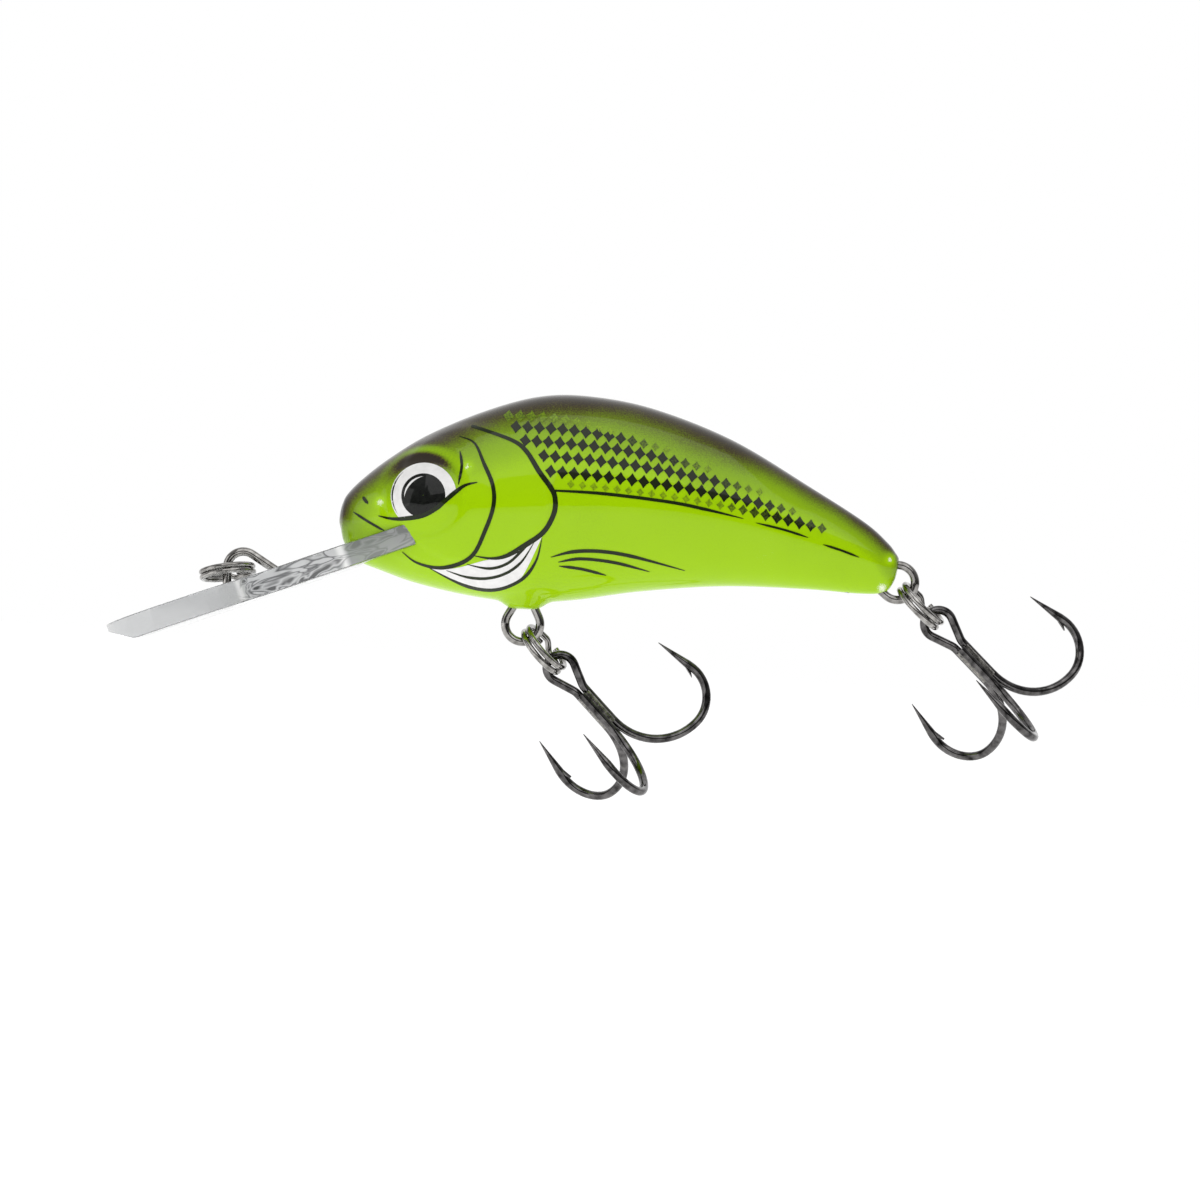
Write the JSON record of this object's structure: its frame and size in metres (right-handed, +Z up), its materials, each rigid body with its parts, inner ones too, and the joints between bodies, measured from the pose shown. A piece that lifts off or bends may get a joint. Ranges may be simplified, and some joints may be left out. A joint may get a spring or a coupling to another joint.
{
  "type": "crankbait lure",
  "caption": "Fish-shaped plastic crankbait with a long clear diving lip, wire line tie with a split ring, and a treble hook on a split ring under the belly and at the tail.",
  "frame": {"origin": "centre of the line tie's wire loop, in the lure's middle plane", "axes": "+X from the nose to the tail along the body's chord, +Y to the fish's right, +Z up through the back"},
  "size_m": [0.0787, 0.015, 0.0326],
  "materials": {
    "painted_abs": "gloss clear coat over chartreuse paint, olive-black back",
    "clear_polycarbonate": "clear, polished",
    "stainless_wire": "bright drawn",
    "nickel_plated_steel": "bright nickel plate",
    "black_nickel_steel": "polished black nickel",
    "braze_metal": "rough as-brazed, plated over",
    "lead": "dull cast",
    "ball_steel": "polished"
  },
  "bodies": {
    "lure_body": {"left_shell": "painted_abs", "right_shell": "painted_abs", "diving_lip": "clear_polycarbonate", "line_tie_wire": "stainless_wire", "belly_hanger": "stainless_wire", "tail_hanger": "stainless_wire", "ballast_weight": "lead"},
    "tie_ring": {"line_tie_ring": "nickel_plated_steel"},
    "belly_split_ring": {"belly_ring": "nickel_plated_steel"},
    "belly_treble": {"belly_treble_double_wire": "black_nickel_steel", "belly_treble_single_wire": "black_nickel_steel", "belly_treble_braze": "braze_metal"},
    "tail_split_ring": {"tail_ring": "nickel_plated_steel"},
    "tail_treble": {"tail_treble_double_wire": "black_nickel_steel", "tail_treble_single_wire": "black_nickel_steel", "tail_treble_braze": "braze_metal"},
    "front_ball": {"rattle_ball_front": "ball_steel"},
    "middle_ball": {"rattle_ball_middle": "ball_steel"},
    "rear_ball": {"rattle_ball_rear": "ball_steel"}
  },
  "joints": [
    {"name": "line_tie_ring_swing", "type": "hinge", "parent": "lure_body", "child": "tie_ring", "pos_m": [0.0008, 0, 0], "axis": [0, 1, 0], "range_deg": [0, 110]},
    {"name": "belly_ring_swing", "type": "hinge", "parent": "lure_body", "child": "belly_split_ring", "pos_m": [0.0227, 0, -0.00285], "axis": [0, 1, 0], "range_deg": [-10, 85]},
    {"name": "belly_treble_swing", "type": "hinge", "parent": "belly_split_ring", "child": "belly_treble", "pos_m": [0.026, 0, -0.00621], "axis": [0, 1, 0], "range_deg": [-10, 25]},
    {"name": "tail_ring_swing", "type": "hinge", "parent": "lure_body", "child": "tail_split_ring", "pos_m": [0.05245, 0, 0.00275], "axis": [0, 1, 0], "range_deg": [-60, 38]},
    {"name": "tail_treble_swing", "type": "hinge", "parent": "tail_split_ring", "child": "tail_treble", "pos_m": [0.05598, 0, -0.00036], "axis": [0, 1, 0], "range_deg": [-25, 25]},
    {"name": "front_ball_roll", "type": "slide", "parent": "lure_body", "child": "front_ball", "axis": [1, 0, 0], "range_m": [0, 0.002]},
    {"name": "middle_ball_roll", "type": "slide", "parent": "lure_body", "child": "middle_ball", "axis": [1, 0, 0], "range_m": [0, 0.002]},
    {"name": "rear_ball_roll", "type": "slide", "parent": "lure_body", "child": "rear_ball", "axis": [1, 0, 0], "range_m": [0, 0.002]}
  ]
}
